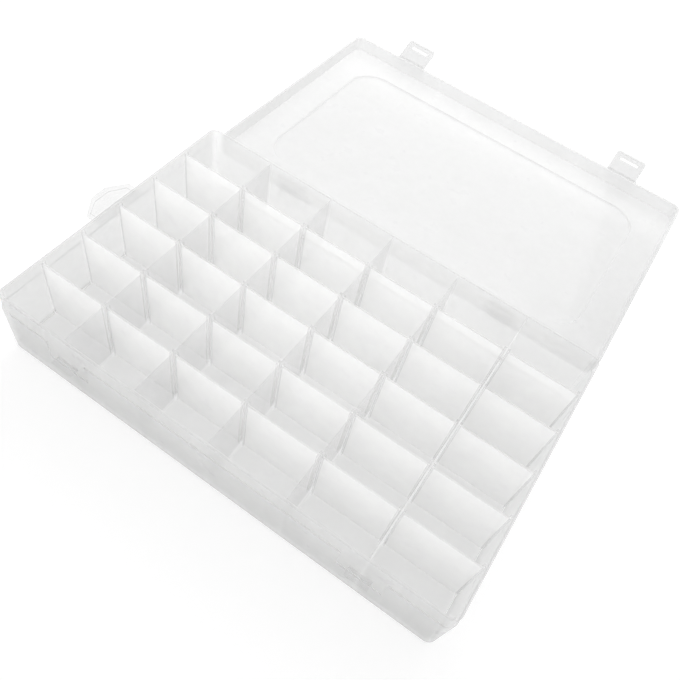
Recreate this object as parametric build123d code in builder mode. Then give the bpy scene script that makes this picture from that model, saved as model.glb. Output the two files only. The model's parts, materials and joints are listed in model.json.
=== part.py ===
from build123d import *
import math
import os

# Embroidery thread box: a flat moulded box with a hinged lid, two snap latches and lift-out dividers.
# Millimetres. Origin at the centre of the underside, +X along the long side, +Y to the hinge, +Z up.
# The box is modelled at rest: lid laid open, latches relaxed, every divider in its slot.

# ---- Driving dimensions: the base tray ----
rim_length = 272.0          # outside of the rim, along X
rim_width = 172.0           # outside of the rim, along Y
base_height = 46.5
rim_wall = 1.5
floor_thickness = 1.6
corner_radius = 5.0         # outside of the rim's vertical corners
foot_radius = 3.0           # round between the outer walls and the underside
inner_foot_radius = 1.0     # round between the inner walls and the floor
ledge_height = 36.0         # shelf that the lid's skirt comes down to
ledge_step = 0.8            # how far the lower body stands out under the rim
rim_round = 0.4             # softened top edge of the rim

# ---- Driving dimensions: compartments ----
columns = 6
rows = 6
cross_wall = 1.2
divider_thickness = 1.1
divider_top = 45.0          # height of the dividers' top edge above the table
divider_corner = 1.6        # cut-off lower corners that clear the round at the floor
divider_edge_round = 0.35
guide_depth = 1.3           # how far a guide rib stands off its wall
guide_width = 0.9
guide_drop = 0.6            # top of the guide ribs below the rim

# ---- Driving dimensions: lid ----
lid_panel = 1.4
lid_skirt = 1.3
lid_round = 1.6             # outer edge between panel and skirt
skirt_above_ledge = 1.0
panel_border = 21.0         # flat margin round the raised middle of the lid
panel_corner = 20.0
panel_rise = 0.8
panel_draft = 45.0

# ---- Driving dimensions: hinge ----
hinge_spread = 150.0        # between the middles of the two hinges
hinge_offset = 3.6          # hinge line behind the rim's back face
hinge_height = 35.2
pin_radius = 1.25
barrel_radius = 2.4
barrel_length = 16.0
ear_radius = 2.2
ear_thickness = 3.0
snap_mouth = 2.0            # mouth of the lid's clip, narrower than the pin it snaps over
clip_overhang = 0.5         # how far the clip's arm reaches past the skirt's edge
open_tilt = 2.17            # how far past flat the open lid lies, in degrees
stop_height = 7.0           # length of the pad that the open lid's skirt leans on
ear_foot_drop = 3.5         # the ear's slanted lower edge meets the wall this far below the pad

# ---- Driving dimensions: latches and catches ----
latch_width = 22.4
latch_length = 16.0         # hinge line to free end
latch_thickness = 1.3
latch_tilt = 26.0           # relaxed latch stands this far out of the lid's plane, in degrees
latch_corner = 2.5
latch_foot_width = 31.5     # root of the flared foot on the lid's skirt
latch_foot_bulge = 0.9      # how far the foot's flared sides curve in
latch_foot_depth = 6.5      # gusset under the foot, down the outside of the skirt
latch_offset = 2.6          # latch hinge line outside the skirt
slot_length = 14.3
slot_height = 2.6
slot_centre = 10.7          # from the latch's hinge line
grip_radius = 1.1           # bead along the latch's free end
catch_height = 1.2
catch_bevel = 0.4           # cut-off upper edge of the catch's face
catch_point = 0.9           # how far the catch stands out past the closed latch's middle
catch_recess = 25.0         # width of the gap in the ledge at each catch
catch_recess_foot = 21.0

# ---- Driving dimensions: end tab ----
tab_width = 34.0
tab_reach = 20.0            # beyond the rim's end face
tab_straight = 12.3         # length of the tab's parallel sides
tab_tip = 11.0              # width of the tab's outer edge
tab_shift = 4.8             # tab's middle, from the box's middle toward the hinge
tab_border = 2.2
tab_border_height = 2.2
tab_web = 1.0

# ---- Clearances ----
divider_end_gap = 0.3
divider_slot_gap = 0.2
divider_floor_gap = 0.2
lid_side_gap = 0.3
lid_top_gap = 0.3
hinge_running_gap = 0.08
hinge_side_gap = 0.4
stop_gap = 0.3
latch_root_gap = 0.3
catch_side_gap = 0.6

# ---- Worked out: compartments ----
inner_length = rim_length - 2 * rim_wall
inner_width = rim_width - 2 * rim_wall
inner_radius = corner_radius - rim_wall
pocket = (inner_length - (columns - 1) * cross_wall) / columns
cell = (inner_width - (rows - 1) * divider_thickness) / rows
column_pitch = pocket + cross_wall
row_pitch = cell + divider_thickness
column_x = [column_pitch * (i - (columns - 1) / 2) for i in range(columns)]
cross_x = [column_pitch * (i - (columns - 2) / 2) for i in range(columns - 1)]
divider_y = [row_pitch * (j - (rows - 2) / 2) for j in range(rows - 1)]
guide_offset = (divider_thickness + 2 * divider_slot_gap + guide_width) / 2
guide_top = base_height - guide_drop

# ---- Worked out: lid, in its own plane (hinge line at 0, s away from the hinge, h toward its open side) ----
lid_length = rim_length + 2 * (lid_side_gap + lid_skirt)
lid_width = rim_width + 2 * (lid_side_gap + lid_skirt)
lid_radius = corner_radius + lid_side_gap + lid_skirt
hinge_y = rim_width / 2 + hinge_offset
hinge_z = hinge_height
skirt_h = hinge_z - (ledge_height + skirt_above_ledge)
panel_inner_h = hinge_z - (base_height + lid_top_gap)
panel_outer_h = panel_inner_h - lid_panel
lid_middle_s = hinge_y
lid_near_s = lid_middle_s - lid_width / 2
lid_far_s = lid_middle_s + lid_width / 2
tilt = math.radians(open_tilt)
lid_plane = Plane(origin=(0, hinge_y, hinge_z), x_dir=(1, 0, 0), z_dir=(0, math.sin(tilt), math.cos(tilt)))
lid_up = Axis(lid_plane.origin, lid_plane.z_dir)
side_plane = Plane(origin=(0, 0, 0), x_dir=(0, 1, 0), z_dir=(1, 0, 0))
lid_side_plane = Plane(origin=lid_plane.origin, x_dir=lid_plane.y_dir, z_dir=(1, 0, 0))

# ---- Worked out: hinge ----
hinge_x = [-hinge_spread / 2, hinge_spread / 2]
bore_radius = pin_radius + hinge_running_gap
ear_centre = barrel_length / 2 + hinge_side_gap + ear_thickness / 2
ear_top = ledge_height
ear_root_y = rim_width / 2 - rim_wall / 2
stop_s = lid_near_s - stop_gap
stop_top_h = skirt_h - latch_thickness
stop_foot_h = stop_top_h - stop_height

# ---- Worked out: latches ----
latch_x = {"latch_left": cross_x[0], "latch_right": cross_x[-1]}
latch_s = lid_far_s + latch_offset
latch_h = skirt_h - latch_thickness / 2
latch_angle = math.radians(latch_tilt)
catch_z = hinge_z - latch_h - slot_centre
catch_front_y = hinge_y - latch_s - catch_point
catch_length = slot_length - 2 * catch_side_gap


def open_lid_point(s, h):
    """The place (y, z) of a point of the open lid, from its distance s past the hinge and height h."""
    y = hinge_y + s * math.cos(tilt) + h * math.sin(tilt)
    z = hinge_z - s * math.sin(tilt) + h * math.cos(tilt)
    return y, z


def latch_plane(x):
    """The plane of a relaxed latch: origin on its hinge line, y toward its free end, z out of its face."""
    y, z = open_lid_point(latch_s, latch_h)
    rise = latch_angle - tilt
    return Plane(origin=(x, y, z), x_dir=(1, 0, 0), z_dir=(0, -math.sin(rise), math.cos(rise)))


# ---- Base: floor, walls, cross walls, guide ribs, catches, hinge ears with their pins, end tab ----
with BuildPart() as base:
    # Lower body: drafted from the ledge down to the rim's own outline at the underside
    with BuildSketch(Plane.XY):
        RectangleRounded(rim_length, rim_width, corner_radius)
    with BuildSketch(Plane.XY.offset(ledge_height)):
        RectangleRounded(rim_length + 2 * ledge_step, rim_width + 2 * ledge_step, corner_radius + ledge_step)
    loft()
    fillet(base.faces().sort_by(Axis.Z)[0].edges(), radius=foot_radius)

    # Rim above the ledge
    with BuildSketch(Plane.XY.offset(ledge_height)):
        RectangleRounded(rim_length, rim_width, corner_radius)
    extrude(amount=base_height - ledge_height)

    # Gaps in the ledge where the latches close over their catches
    with BuildSketch(Plane.XZ.offset(rim_width / 2)):
        with Locations(*[(x, (catch_recess_foot + ledge_height) / 2) for x in latch_x.values()]):
            Rectangle(catch_recess, ledge_height - catch_recess_foot)
    extrude(amount=ledge_step + rim_wall, mode=Mode.SUBTRACT)

    # Hollow inside
    with BuildSketch(Plane.XY.offset(floor_thickness)):
        RectangleRounded(inner_length, inner_width, inner_radius)
    extrude(amount=base_height - floor_thickness, mode=Mode.SUBTRACT)
    cavity_floor = base.faces().filter_by(Plane.XY).sort_by(Axis.Z).filter_by_position(
        Axis.Z, floor_thickness - inner_foot_radius / 2, floor_thickness + inner_foot_radius / 2
    )
    fillet(cavity_floor.edges(), radius=inner_foot_radius)
    fillet(base.faces().sort_by(Axis.Z)[-1].edges(), radius=rim_round)

    # Cross walls that part the columns
    with BuildSketch(Plane.XY.offset(floor_thickness / 2)):
        with Locations(*[(x, 0) for x in cross_x]):
            Rectangle(cross_wall, inner_width + rim_wall)
    extrude(amount=base_height - rim_round - floor_thickness / 2)

    # Guide ribs: a pair on each side of each pocket for every divider
    with BuildSketch(Plane.XY.offset(floor_thickness / 2)):
        for x in column_x:
            for side in (-1, 1):
                for y in divider_y:
                    with Locations((x + side * (pocket - guide_depth) / 2, y)):
                        with GridLocations(0, 2 * guide_offset, 1, 2):
                            Rectangle(guide_depth, guide_width)
    extrude(amount=guide_top - floor_thickness / 2)

    # Catches: ribs on the front wall that stand through the closed latches' slots
    with BuildSketch(side_plane.offset(-catch_length / 2)):
        with BuildLine():
            Polyline(
                (-rim_width / 2 + rim_wall / 2, catch_z - catch_height / 2),
                (catch_front_y, catch_z - catch_height / 2),
                (catch_front_y, catch_z + catch_height / 2 - catch_bevel),
                (catch_front_y + catch_bevel, catch_z + catch_height / 2),
                (-rim_width / 2 + rim_wall / 2, catch_z + catch_height / 2),
                close=True,
            )
        make_face()
    catch = extrude(amount=catch_length, mode=Mode.PRIVATE)
    with Locations(*[(x, 0, 0) for x in latch_x.values()]):
        add(catch)

    # Hinge ears on the back wall, each with a pad that stops the open lid
    for x in hinge_x:
        for side in (-1, 1):
            with BuildSketch(side_plane.offset(x + side * ear_centre - ear_thickness / 2)):
                with Locations((hinge_y, hinge_z)):
                    Circle(ear_radius)
                with BuildLine():
                    Polyline(
                        (ear_root_y, ear_top),
                        (hinge_y, ear_top),
                        open_lid_point(stop_s, stop_top_h),
                        open_lid_point(stop_s, stop_foot_h),
                        (ear_root_y, open_lid_point(stop_s, stop_foot_h)[1] - ear_foot_drop),
                        close=True,
                    )
                make_face()
            extrude(amount=ear_thickness)
        with BuildSketch(side_plane.offset(x - ear_centre)):
            with Locations((hinge_y, hinge_z)):
                Circle(pin_radius)
        extrude(amount=2 * ear_centre)

    # End tab: a thin web with a raised border, level with the ledge
    tab_root_x = -rim_length / 2 + rim_wall / 2
    tab_tip_x = -rim_length / 2 - tab_reach
    tab_bend_x = -rim_length / 2 - tab_straight
    with BuildSketch(Plane.XY.offset(ledge_height - tab_border_height)):
        with BuildLine():
            Polyline(
                (tab_root_x, tab_shift - tab_width / 2),
                (tab_bend_x, tab_shift - tab_width / 2),
                (tab_tip_x, tab_shift - tab_tip / 2),
                (tab_tip_x, tab_shift + tab_tip / 2),
                (tab_bend_x, tab_shift + tab_width / 2),
                (tab_root_x, tab_shift + tab_width / 2),
                close=True,
            )
        make_face()
    extrude(amount=tab_border_height)
    for z, depth in ((ledge_height, -1), (ledge_height - tab_border_height, 1)):
        with BuildSketch(Plane.XY.offset(z)):
            with BuildLine():
                Polyline(
                    (-rim_length / 2 - ledge_step, tab_shift - tab_width / 2 + tab_border),
                    (tab_bend_x, tab_shift - tab_width / 2 + tab_border),
                    (tab_tip_x + tab_border, tab_shift - tab_tip / 2),
                    (tab_tip_x + tab_border, tab_shift + tab_tip / 2),
                    (tab_bend_x, tab_shift + tab_width / 2 - tab_border),
                    (-rim_length / 2 - ledge_step, tab_shift + tab_width / 2 - tab_border),
                    close=True,
                )
            make_face()
        extrude(amount=depth * (tab_border_height - tab_web) / 2, mode=Mode.SUBTRACT)

# ---- Lid: panel, skirt, snap clips on the pins, feet of the latches ----
with BuildPart() as lid:
    with BuildSketch(lid_plane.offset(panel_outer_h)):
        with Locations((0, lid_middle_s)):
            RectangleRounded(lid_length, lid_width, lid_radius)
    extrude(amount=skirt_h - panel_outer_h)
    fillet(lid.faces().sort_by(lid_up)[0].edges(), radius=lid_round)
    with BuildSketch(lid_plane.offset(panel_inner_h)):
        with Locations((0, lid_middle_s)):
            RectangleRounded(lid_length - 2 * lid_skirt, lid_width - 2 * lid_skirt, lid_radius - lid_skirt)
    extrude(amount=skirt_h - panel_inner_h, mode=Mode.SUBTRACT)

    # Raised middle of the panel: stands out on the outside, sinks in on the inside
    with BuildSketch(lid_plane.offset(panel_outer_h)):
        with Locations((0, lid_middle_s)):
            RectangleRounded(lid_length - 2 * panel_border, lid_width - 2 * panel_border, panel_corner)
    extrude(amount=-panel_rise, taper=panel_draft)
    with BuildSketch(lid_plane.offset(panel_inner_h)):
        with Locations((0, lid_middle_s)):
            RectangleRounded(lid_length - 2 * panel_border, lid_width - 2 * panel_border, panel_corner)
    extrude(amount=-panel_rise, taper=panel_draft, mode=Mode.SUBTRACT)

    # Snap clips: arms from the skirt to open barrels round the base's pins
    for x in hinge_x:
        with BuildSketch(lid_side_plane.offset(x - barrel_length / 2)):
            Circle(barrel_radius)
            with BuildLine():
                Polyline(
                    (0, 0),
                    (0, -barrel_radius),
                    (lid_near_s, skirt_h - barrel_radius),
                    (lid_near_s + lid_skirt, skirt_h - barrel_radius),
                    (lid_near_s + lid_skirt, skirt_h + clip_overhang),
                    close=True,
                )
            make_face()
            Circle(bore_radius, mode=Mode.SUBTRACT)
            with Locations((-barrel_radius, 0)):
                Rectangle(2 * barrel_radius, snap_mouth, mode=Mode.SUBTRACT)
        extrude(amount=barrel_length)

    # Flared feet that carry the latches, each on a gusset down the outside of the skirt
    foot_end_s = latch_s - latch_thickness / 2 - latch_root_gap
    with BuildSketch(lid_plane.offset(skirt_h - latch_thickness)):
        for x in latch_x.values():
            root_left = (x - latch_foot_width / 2, lid_far_s)
            root_right = (x + latch_foot_width / 2, lid_far_s)
            end_left = (x - latch_width / 2, foot_end_s)
            end_right = (x + latch_width / 2, foot_end_s)
            with BuildLine():
                Polyline(
                    root_left,
                    (x - latch_foot_width / 2, lid_far_s - lid_skirt / 2),
                    (x + latch_foot_width / 2, lid_far_s - lid_skirt / 2),
                    root_right,
                )
                SagittaArc(root_right, end_right, latch_foot_bulge)
                Line(end_right, end_left)
                SagittaArc(end_left, root_left, latch_foot_bulge)
            make_face()
    extrude(amount=latch_thickness)
    for x in latch_x.values():
        with BuildSketch(lid_side_plane.offset(x - latch_width / 2)):
            with BuildLine():
                Polyline(
                    (lid_far_s - lid_skirt / 2, skirt_h - latch_thickness / 2),
                    (foot_end_s, skirt_h - latch_thickness / 2),
                    (foot_end_s, skirt_h - latch_thickness),
                    (lid_far_s, skirt_h - latch_foot_depth),
                    (lid_far_s - lid_skirt / 2, skirt_h - latch_foot_depth),
                    close=True,
                )
            make_face()
        extrude(amount=latch_width)


def make_latch(x):
    """A latch plate with a round root on its hinge line, a slot for the catch and a bead at its free end."""
    flat = latch_plane(x)
    edge_on = Plane(origin=flat.origin - Vector(latch_width / 2, 0, 0), x_dir=flat.y_dir, z_dir=(1, 0, 0))
    with BuildPart() as latch:
        with BuildSketch(flat.offset(-latch_thickness / 2)):
            with Locations((0, latch_length / 2)):
                Rectangle(latch_width, latch_length)
        extrude(amount=latch_thickness)
        upright_edges = latch.edges().filter_by(Axis(flat.origin, flat.z_dir))
        fillet(upright_edges.sort_by(Axis(flat.origin, flat.y_dir))[-2:], radius=latch_corner)
        with BuildSketch(edge_on):
            Circle(latch_thickness / 2)
        extrude(amount=latch_width)
        with BuildSketch(edge_on.offset(latch_corner)):
            with Locations((latch_length - grip_radius, 0)):
                Circle(grip_radius)
        extrude(amount=latch_width - 2 * latch_corner)
        with BuildSketch(flat.offset(-latch_thickness)):
            with Locations((0, slot_centre)):
                SlotOverall(slot_length, slot_height)
        extrude(amount=2 * latch_thickness, mode=Mode.SUBTRACT)
    return latch.part


def make_divider(x, y):
    """A lift-out divider: a thin plate with cut lower corners and a softened top edge."""
    foot_z = floor_thickness + divider_floor_gap
    half = pocket / 2 - divider_end_gap
    with BuildPart() as divider:
        with BuildSketch(Plane.XZ.offset(-y - divider_thickness / 2)):
            with BuildLine():
                Polyline(
                    (x - half + divider_corner, foot_z),
                    (x + half - divider_corner, foot_z),
                    (x + half, foot_z + divider_corner),
                    (x + half, divider_top),
                    (x - half, divider_top),
                    (x - half, foot_z + divider_corner),
                    close=True,
                )
            make_face()
        extrude(amount=divider_thickness)
        fillet(
            divider.faces().sort_by(Axis.Z)[-1].edges().filter_by(Axis.X),
            radius=divider_edge_round,
        )
    return divider.part


os.makedirs("parts", exist_ok=True)

base.part.label = "base"
export_step(base.part, "parts/base.step")

lid.part.label = "lid"
export_step(lid.part, "parts/lid.step")

for name, x in latch_x.items():
    latch = make_latch(x)
    latch.label = name
    export_step(latch, f"parts/{name}.step")

for j, y in enumerate(divider_y):
    for i, x in enumerate(column_x):
        divider = make_divider(x, y)
        divider.label = f"divider_row{j + 1}_col{i + 1}"
        export_step(divider, f"parts/{divider.label}.step")
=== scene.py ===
# %% [markdown]
# # A thread box moulded in milky plastic
#
# The box is made of 34 moulded pieces: a tray, a lid with two latches, and thirty lift-out dividers.
# Their shapes come from the fixed CAD model and stay as they are. This lesson gives them the look of
# natural polypropylene, adds the two thin webs that the latches swing on, and sets up a white table and
# soft light.
#
# Natural polypropylene is an interesting plastic to imitate. It has no pigment. Light crosses it, but
# tiny crystals inside scatter part of that light, so a thin wall looks clear, a thick one looks milky,
# and several walls behind each other look whiter still.

# %% Load the fixed model
import json
import math

import bmesh
import bpy
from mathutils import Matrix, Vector


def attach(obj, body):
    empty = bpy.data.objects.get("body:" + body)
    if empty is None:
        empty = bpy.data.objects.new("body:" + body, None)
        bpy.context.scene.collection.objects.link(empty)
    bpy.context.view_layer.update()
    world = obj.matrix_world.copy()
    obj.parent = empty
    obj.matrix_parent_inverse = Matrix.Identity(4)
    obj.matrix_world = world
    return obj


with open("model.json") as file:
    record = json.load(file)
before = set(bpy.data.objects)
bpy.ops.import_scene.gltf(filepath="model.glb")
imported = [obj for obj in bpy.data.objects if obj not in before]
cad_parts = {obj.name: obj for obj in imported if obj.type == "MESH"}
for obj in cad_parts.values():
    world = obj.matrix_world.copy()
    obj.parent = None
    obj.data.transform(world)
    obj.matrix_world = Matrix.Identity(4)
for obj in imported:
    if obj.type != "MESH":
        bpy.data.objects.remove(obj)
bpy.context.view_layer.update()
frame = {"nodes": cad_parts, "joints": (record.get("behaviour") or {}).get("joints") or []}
nodes = frame["nodes"]

# %% [markdown]
# ## Which pieces leave the same mould
#
# Pieces from one mould share a finish. The lid and its two latches are one shot of plastic. The dividers
# are made in a mould of their own, with thinner walls. The tray is the third mould.

# %% Sort the pieces by mould
dividers = [name for name in sorted(nodes) if name.startswith("divider")]
lid_pieces = ["lid", "latch_left", "latch_right"]
tray_pieces = ["base"]
print(f"{len(dividers)} dividers, {len(lid_pieces)} lid pieces, {len(tray_pieces)} tray")

# %% [markdown]
# ## The camera
#
# The camera stands close in front of the box, a little right of its middle, and looks steeply down on it.
# A lens of 38 mm this near makes the front corner large and lets the lid's far edge run away, as a
# person's eye close to the table would see it. The three angles are written in degrees, because a person
# reads those more easily than radians.

# %% Place the camera
camera_place = (0.0925, -0.1983, 0.3548)
camera_angles = (33.96, -8.78, 33.70)
camera_lens = 37.99
film_width = 36.0
nearest_view = 0.01

camera_data = bpy.data.cameras.new("camera")
camera_data.sensor_width = film_width
camera_data.lens = camera_lens
camera_data.clip_start = nearest_view
camera = bpy.data.objects.new("camera", camera_data)
bpy.context.scene.collection.objects.link(camera)
camera.location = camera_place
camera.rotation_euler = [math.radians(angle) for angle in camera_angles]
bpy.context.scene.camera = camera
print(f"Camera {camera_place[2] * 1000:.0f} mm above the table")

# %% [markdown]
# ## A few helpers for node materials
#
# A material in Cycles is a small circuit of nodes. Building it by hand in Python takes a line for each
# node and a line for each wire, so a few short helpers keep the later cells easy to read. They start an
# empty material, write a grey as a colour, add a node with its values, work out a sum, and stretch a
# range of numbers onto another range.

# %% Start an empty material
def blank_material(name):
    material = bpy.data.materials.new(name)
    material.use_nodes = True
    tree = material.node_tree
    tree.nodes.clear()
    output = tree.nodes.new("ShaderNodeOutputMaterial")
    return material, tree, output


# %% Write a grey as a colour
def grey(level):
    return (level, level, level, 1.0)


# %% Add a node and set its values
def add(tree, kind, **values):
    """Adds a node. Each value goes to the socket of that name, with _ read as a space."""
    node = tree.nodes.new("ShaderNode" + kind)
    for name, value in values.items():
        node.inputs[name.replace("_", " ")].default_value = value
    return node


# %% Work out a sum
def maths(tree, operation, *numbers):
    """The sum of that name. Each number is a socket or a plain number."""
    node = tree.nodes.new("ShaderNodeMath")
    node.operation = operation
    for slot, number in zip(node.inputs, numbers):
        if isinstance(number, float):
            slot.default_value = number
        else:
            tree.links.new(number, slot)
    return node.outputs[0]


# %% Stretch one range onto another
def stretch(tree, value, low, high, new_low, new_high):
    """A value between low and high comes out between new_low and new_high."""
    node = add(tree, "MapRange", From_Min=low, From_Max=high, To_Min=new_low, To_Max=new_high)
    tree.links.new(value, node.inputs["Value"])
    return node.outputs["Result"]


# %% [markdown]
# ## Clouds, flow lines and fine grain
#
# Moulded plastic is never quite even. As it cools it leaves soft clouds a centimetre or two across, and
# where it ran through the mould it leaves faint lines. A mould's spark-eroded walls print a fine satin
# grain on the faces. All three are noise at different scales. The texture coordinate "Object" is measured
# in metres here, so a noise of scale 60 has clouds of about 17 mm and one of scale 1800 has grains of
# about half a millimetre. Noise seldom leaves the range from 0.3 to 0.7, so the clouds are stretched from
# that range wherever they are used.

# %% Three kinds of unevenness
cloud_scale = 60.0
cloud_detail = 3.0
cloud_low = 0.3
cloud_high = 0.7
grain_scale = 1800.0
grain_detail = 2.0
flow_stretch = (25.0, 260.0, 260.0)
flow_detail = 3.0


def noise(tree, place, scale, detail):
    node = add(tree, "TexNoise", Scale=scale, Detail=detail)
    tree.links.new(place, node.inputs["Vector"])
    return node.outputs["Fac"]


def flow_lines(tree, place):
    """Noise drawn out along the box's length, as plastic runs in the mould."""
    drawn_out = add(tree, "Mapping", Scale=flow_stretch)
    tree.links.new(place, drawn_out.inputs["Vector"])
    return noise(tree, drawn_out.outputs["Vector"], 1.0, flow_detail)


def drift(tree, cloud, middle, reach):
    """A number that wanders with the clouds, by reach to either side of its middle."""
    return stretch(tree, cloud, cloud_low, cloud_high, middle - reach, middle + reach)


# %% [markdown]
# ## The colour of clear plastic
#
# The pellets are colourless, but a moulded wall has a very slight tint that changes from place to place.
# A colour ramp turns the clouds into a drift between two near-white tints, a cooler and a warmer one.

# %% A drift between two tints
def tint(tree, cloud, cool, warm):
    colours = tree.nodes.new("ShaderNodeValToRGB")
    colours.color_ramp.elements[0].position = cloud_low
    colours.color_ramp.elements[0].color = (*cool, 1.0)
    colours.color_ramp.elements[1].position = cloud_high
    colours.color_ramp.elements[1].color = (*warm, 1.0)
    tree.links.new(cloud, colours.inputs["Fac"])
    return colours.outputs["Color"]


# %% [markdown]
# ## The satin skin
#
# The outside of the sheet reflects a little light in a soft way. The Principled shader does that with an
# index of refraction of 1.49, which is that of polypropylene, and a roughness of about a third. The
# clouds move the roughness a little up and down, and the grain and the flow lines push the surface in and
# out by about a hundredth of a millimetre through a Bump node.

# %% Build the satin skin
plastic_ior = 1.49
skin_roughness = 0.32
roughness_drift = 0.06
grain_depth = 0.0002
grain_strength = 0.06
flow_share = 0.35


def satin_skin(tree, place, cloud, colour):
    skin = add(tree, "BsdfPrincipled", IOR=plastic_ior)
    tree.links.new(colour, skin.inputs["Base Color"])
    tree.links.new(drift(tree, cloud, skin_roughness, roughness_drift), skin.inputs["Roughness"])

    grain = noise(tree, place, grain_scale, grain_detail)
    relief = maths(tree, "MULTIPLY_ADD", flow_lines(tree, place), flow_share, grain)
    bump = add(tree, "Bump", Strength=grain_strength, Distance=grain_depth)
    tree.links.new(relief, bump.inputs["Height"])
    tree.links.new(bump.outputs["Normal"], skin.inputs["Normal"])
    return skin.outputs[0]


# %% [markdown]
# ## How milky a wall is
#
# The milk of a wall grows with its thickness. One ramp holds the shares of scattered light, from the
# clearest part of a piece to the whitest: for a catch, for thin walls, for the floor and the thick walls,
# and for the foot, where wall and floor meet in a solid round. The clouds are added to it, so that no
# wall is quite even.

# %% Turn thickness into milk
milk_drift = 0.02


def milk_share(tree, thickness, milk, cloud):
    """thickness runs from 0 to 1, over as many even levels as there are shares of milk."""
    levels = tree.nodes.new("ShaderNodeValToRGB")
    last = len(milk) - 1
    for number in range(1, last):
        levels.color_ramp.elements.new(number / last)
    for level, share in zip(levels.color_ramp.elements, milk):
        level.color = grey(share)
    tree.links.new(thickness, levels.inputs["Fac"])
    return maths(tree, "ADD", levels.outputs["Color"], drift(tree, cloud, 0.0, milk_drift))


# %% [markdown]
# ## Milky plastic: clear, skin and glow
#
# The sheet is mixed from three shaders. A Transparent shader is the share of light that crosses the wall
# without touching a crystal. A Translucent shader is the share that crosses it and is scattered, which
# makes a wall glow when it is lit from behind. The satin skin is what bounces back. Real volume
# scattering would do all this by itself, but it is slow and grainy in walls of one millimetre, and it is
# lost when a model is exported, so the mix of three is the better way.
#
# `milk` is the share of the light that is scattered at all, `glow` is how much of that comes out of the
# far side, and `clearness` is how much of the rest gets past a face, because each face turns a little
# back. A wall has two faces, so every share counts twice.

# %% Mix the milky plastic
def milky_plastic(name, cool, warm, milk, glow, clearness, thickness=None):
    """thickness is a function of the tree and the place. Without it the whole piece is thin."""
    material, tree, output = blank_material(name)
    link = tree.links.new
    place = tree.nodes.new("ShaderNodeTexCoord").outputs["Object"]
    cloud = noise(tree, place, cloud_scale, cloud_detail)
    colour = tint(tree, cloud, cool, warm)

    scattered = add(tree, "BsdfTranslucent")
    link(colour, scattered.inputs["Color"])
    milky = add(tree, "MixShader", Fac=glow)
    link(satin_skin(tree, place, cloud, colour), milky.inputs[1])
    link(scattered.outputs[0], milky.inputs[2])

    if thickness:
        share = milk_share(tree, thickness(tree, place), milk, cloud)
    else:
        share = drift(tree, cloud, milk, milk_drift)

    clear = add(tree, "BsdfTransparent", Color=grey(clearness))
    sheet = tree.nodes.new("ShaderNodeMixShader")
    link(share, sheet.inputs["Fac"])
    link(clear.outputs[0], sheet.inputs[1])
    link(milky.outputs[0], sheet.inputs[2])
    link(sheet.outputs[0], output.inputs["Surface"])
    print(f"{name}: milk {milk}, glow {glow}, clearness {clearness}")
    return material


# %% [markdown]
# ## Where the tray is thick
#
# The tray's outer walls and its floor hold more plastic than the thin walls between its columns, so they
# are milkier. The shape can't be asked for its thickness, but the place can. A Compare node gives 1 where
# a number lies near a middle value and 0 elsewhere. Such nodes find the end walls by their distance from
# the middle of the box, the front and back walls in the same way, the floor by its height, and the two
# catches by their place in front of the front wall. The catches are small enough to stay nearly clear.

# %% Find the thick parts of the tray
wall_middle_x = 0.13565
wall_middle_y = 0.08565
wall_half = 0.0013
floor_height = 0.0017
catch_middle_y = -0.08935
catch_half = 0.0023


def tray_thickness(tree, place):
    """0 is a catch, 1/3 a thin wall, 2/3 the floor or an outer wall, 1 the foot, where those two meet."""
    axes = tree.nodes.new("ShaderNodeSeparateXYZ")
    tree.links.new(place, axes.inputs[0])
    along = maths(tree, "ABSOLUTE", axes.outputs["X"])
    across = maths(tree, "ABSOLUTE", axes.outputs["Y"])
    ends = maths(tree, "COMPARE", along, wall_middle_x, wall_half)
    sides = maths(tree, "COMPARE", across, wall_middle_y, wall_half)
    outer = maths(tree, "MAXIMUM", ends, sides)
    floor = maths(tree, "COMPARE", axes.outputs["Z"], 0.0, floor_height)
    catch = maths(tree, "COMPARE", axes.outputs["Y"], catch_middle_y, catch_half)
    thin = maths(tree, "SUBTRACT", 1.0, catch)
    levels = maths(tree, "ADD", maths(tree, "ADD", thin, outer), floor)
    return maths(tree, "DIVIDE", levels, 3.0)


# %% [markdown]
# ## Three finishes for three moulds
#
# The numbers are what a moulder would call the milkiness of each piece. The lid is one wide sheet that
# lets the table show through. Its tint is painted a touch greyer than the tray's, a painted shade that
# darkens the whole lid, and it glows the least, so its skirt stays darker than its panel and its edge is
# easy to see. The dividers' tint is painted the whitest, a painted light that brightens them, and four
# fifths of their milk glows through, because light reaches them from behind. The tray's inner walls are
# the clearest, so the guide ribs on them show, and its floor and outer walls are twice as milky.

# %% Make the finishes
tray_plastic = milky_plastic(
    "tray_plastic",
    cool=(0.975, 0.975, 0.975),
    warm=(0.965, 0.965, 0.96),
    milk=(0.04, 0.17, 0.34, 0.9),
    glow=0.53,
    clearness=0.995,
    thickness=tray_thickness,
)
lid_plastic = milky_plastic(
    "lid_plastic",
    # The lid's grey tint is painted shade that darkens the whole lid against the tray's plastic.
    cool=(0.905, 0.905, 0.905),
    warm=(0.89, 0.89, 0.888),
    milk=0.31,
    glow=0.42,
    clearness=0.985,
)
divider_plastic = milky_plastic(
    "divider_plastic",
    # The dividers' near-white tint is painted light that brightens them against the tray's plastic.
    cool=(0.99, 0.99, 0.99),
    warm=(0.985, 0.985, 0.98),
    milk=0.36,
    glow=0.8,
    clearness=0.995,
)


# %% [markdown]
# ## Dressing the pieces
#
# Every piece gets exactly one material, so its list of materials is emptied first. The piece's own slot
# is then set too, because the slot is what the renderer and the exporter ask.

# %% Dress the pieces
def dress(names, material):
    for name in names:
        piece = nodes[name]
        piece.data.materials.clear()
        piece.data.materials.append(material)
        piece.material_slots[0].material = material
    print(f"{material.name} on {len(names)} pieces")


dress(tray_pieces, tray_plastic)
dress(lid_pieces, lid_plastic)
dress(dividers, divider_plastic)

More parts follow.
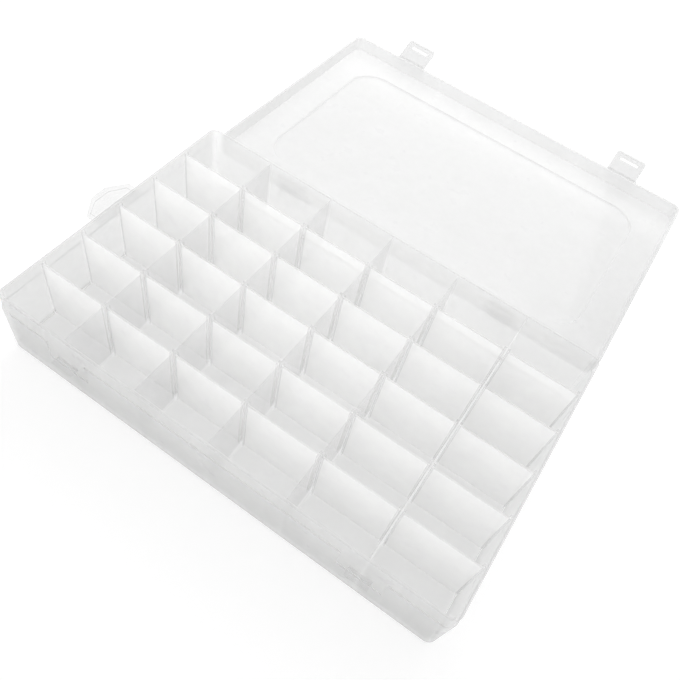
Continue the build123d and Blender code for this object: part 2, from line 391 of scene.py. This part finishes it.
# %% [markdown]
# ## The living hinges
#
# Each latch is moulded together with the lid. Between them the plastic is pressed down to a web a quarter
# of a millimetre thick, which bends a million times without breaking: a living hinge. The CAD model
# leaves a gap there, because its pieces are rigid. The root of a latch is a round roll, and the web ends
# in the middle of that roll. So the web can ride on the lid, and it stays joined to the latch at every
# angle.
#
# The lid lies open, tilted a little past flat, so the web is placed with the lid's own two directions:
# one from the hinge to the lid's far edge, one out of its plane.

# %% Measure how the lid lies
joints = {joint["name"]: joint for joint in frame["joints"]}
lid_swing = joints["lid_hinge"]["range_deg"][0]
lid_tilt = math.radians(-lid_swing - 180.0)
along_lid = Vector((0.0, math.cos(lid_tilt), -math.sin(lid_tilt)))
out_of_lid = Vector((0.0, math.sin(lid_tilt), math.cos(lid_tilt)))
print(f"The open lid lies {math.degrees(lid_tilt):.2f} degrees past flat")

# %% [markdown]
# A web has a waist. It is thickest at its two ends, where it flows into the lid and into the latch, and
# thinnest halfway, where it bends. A cosine gives that waist with no corner in it. The outline is drawn
# once as seen from the side: along the top from the latch to the lid, and back along the bottom.

# %% Draw the outline of a web
web_length = 0.0016
web_waist = 0.00025
web_end = 0.0009
web_steps = 12


def web_outline(root):
    upper = []
    lower = []
    for number in range(web_steps + 1):
        step = number / web_steps
        fullness = (1.0 + math.cos(2.0 * math.pi * step)) / 2.0
        half = (web_waist + (web_end - web_waist) * fullness) / 2.0
        spot = root - along_lid * web_length * step
        upper.append(spot + out_of_lid * half)
        lower.append(spot - out_of_lid * half)
    return upper + lower[::-1]


# %% [markdown]
# The outline is set up twice, once at each end of the latch's width, and every side of one is joined to
# the same side of the other. That is how a profile becomes a bar in mesh code.

# %% Press a web between the lid and each latch
web_width = 0.0214


def press_web(side):
    root = Vector(joints[f"latch_{side}_hinge"]["pos_m"])
    outline = web_outline(root)
    shape = bmesh.new()
    across = Vector((web_width / 2.0, 0.0, 0.0))
    near_end = [shape.verts.new(point - across) for point in outline]
    far_end = [shape.verts.new(point + across) for point in outline]
    shape.faces.new(near_end)
    shape.faces.new(far_end[::-1])
    for corner in range(len(outline)):
        shape.faces.new((near_end[corner - 1], far_end[corner - 1], far_end[corner], near_end[corner]))
    bmesh.ops.recalc_face_normals(shape, faces=shape.faces)

    mesh = bpy.data.meshes.new(f"hinge_web_{side}")
    shape.to_mesh(mesh)
    shape.free()
    mesh.materials.append(lid_plastic)
    web = bpy.data.objects.new(mesh.name, mesh)
    bpy.context.scene.collection.objects.link(web)
    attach(web, "lid")
    print(f"{web.name} has {len(mesh.polygons)} faces and ends in the roll of its latch")


press_web("left")
press_web("right")

# %% [markdown]
# ## The table
#
# The box stands on a plain white table. Its matte paint catches the box's own soft shadow. To make the
# table as white as paper for the camera, it also gives light of its own, but only for rays that come from
# the camera, from a glossy reflection or through the plastic.
#
# The tray's underside lies exactly at height zero. If the table lay there too, a ray that leaves a
# see-through face would slip past the table, which shares its place, and would see the sky below. So the
# table lies a fifth of a millimetre lower. Nobody can see the gap, and the light under the box is right.

# %% Build the table
table_size = 4.0
table_white = 0.33
table_lift = 0.78
table_gap = 0.0002
white = grey(1.0)

bpy.ops.mesh.primitive_plane_add(size=table_size, location=(0, 0, -table_gap))
table = bpy.context.object
table.name = "table"
table_paint, tree, output = blank_material("table_paint")
matte = add(tree, "BsdfDiffuse", Color=grey(table_white))
lift = add(tree, "Emission", Color=white)
path = tree.nodes.new("ShaderNodeLightPath")
seen = maths(tree, "MAXIMUM", path.outputs["Is Camera Ray"], path.outputs["Is Glossy Ray"])
seen = maths(tree, "MAXIMUM", seen, path.outputs["Is Transmission Ray"])
tree.links.new(stretch(tree, seen, 0.0, 1.0, 0.0, table_lift), lift.inputs["Strength"])
both = tree.nodes.new("ShaderNodeAddShader")
tree.links.new(matte.outputs[0], both.inputs[0])
tree.links.new(lift.outputs[0], both.inputs[1])
tree.links.new(both.outputs[0], output.inputs["Surface"])
table.data.materials.append(table_paint)
print(f"Table of {table_size:.0f} m laid {table_gap * 1000:.1f} mm under the box")

# %% [markdown]
# ## The room
#
# Most of the light comes from the room itself, as in a light tent, so every wall of every cell is lit
# from many sides. The tent is bright behind the box and dim in front of it. A dot product tells how far a
# direction points to the bright side, from -1 to 1, and sets the strength. The camera itself sees plain
# white.

# %% Light the room
dim_strength = 0.1
bright_strength = 1.1
bright_side = (0.0, 1.0, 0.0)

room = bpy.data.worlds.new("room")
bpy.context.scene.world = room
room.use_nodes = True
tree = room.node_tree
tree.nodes.clear()
output = tree.nodes.new("ShaderNodeOutputWorld")
direction = tree.nodes.new("ShaderNodeTexCoord").outputs["Generated"]
toward = tree.nodes.new("ShaderNodeVectorMath")
toward.operation = "DOT_PRODUCT"
toward.inputs[1].default_value = bright_side
tree.links.new(direction, toward.inputs[0])
strength = stretch(tree, toward.outputs["Value"], -1.0, 1.0, dim_strength, bright_strength)
tent = add(tree, "Background", Color=white)
tree.links.new(strength, tent.inputs["Strength"])
backdrop = add(tree, "Background", Color=white, Strength=1.0)
path = tree.nodes.new("ShaderNodeLightPath")
choice = tree.nodes.new("ShaderNodeMixShader")
tree.links.new(path.outputs["Is Camera Ray"], choice.inputs["Fac"])
tree.links.new(tent.outputs[0], choice.inputs[1])
tree.links.new(backdrop.outputs[0], choice.inputs[2])
tree.links.new(choice.outputs[0], output.inputs["Surface"])
print(f"Room lit from {dim_strength} to {bright_strength}")

# %% [markdown]
# ## The lamp
#
# One large round lamp hangs behind the open lid. It shines through the dividers from behind, which makes
# them glow toward the viewer, and it hangs high enough to reach down into the cells. It is also near
# enough for its light to fall off across the box, so the lid and the back cells are a little brighter
# than the front wall. A disc of 80 cm makes shadows with no hard edge.

# %% Hang the lamp
lamp_power = 3.9
lamp_width = 0.8
lamp_place = Vector((-0.15, 0.66, 0.48))
lamp_aim = Vector((0.0, 0.05, 0.0))

lamp_data = bpy.data.lights.new("lamp", "AREA")
lamp_data.shape = "DISK"
lamp_data.size = lamp_width
lamp_data.energy = lamp_power
lamp = bpy.data.objects.new("lamp", lamp_data)
bpy.context.scene.collection.objects.link(lamp)
lamp.location = lamp_place
lamp.rotation_euler = (lamp_place - lamp_aim).to_track_quat("Z", "Y").to_euler()
print(f"Lamp {(lamp_place - lamp_aim).length:.2f} m away")

# %% [markdown]
# ## Enough bounces
#
# A ray that looks through the box can cross more than twenty faces before it reaches the table, and light
# in a cell bounces many times between its pale walls. The usual limits would turn such rays black.

# %% Set the bounces and the view
clear_faces = 32
pale_bounces = 12
all_bounces = 16

scene = bpy.context.scene
scene.cycles.transparent_max_bounces = clear_faces
scene.cycles.diffuse_bounces = pale_bounces
scene.cycles.max_bounces = all_bounces
scene.view_settings.view_transform = "Standard"
print(f"A ray may cross {clear_faces} clear faces and bounce {all_bounces} times")
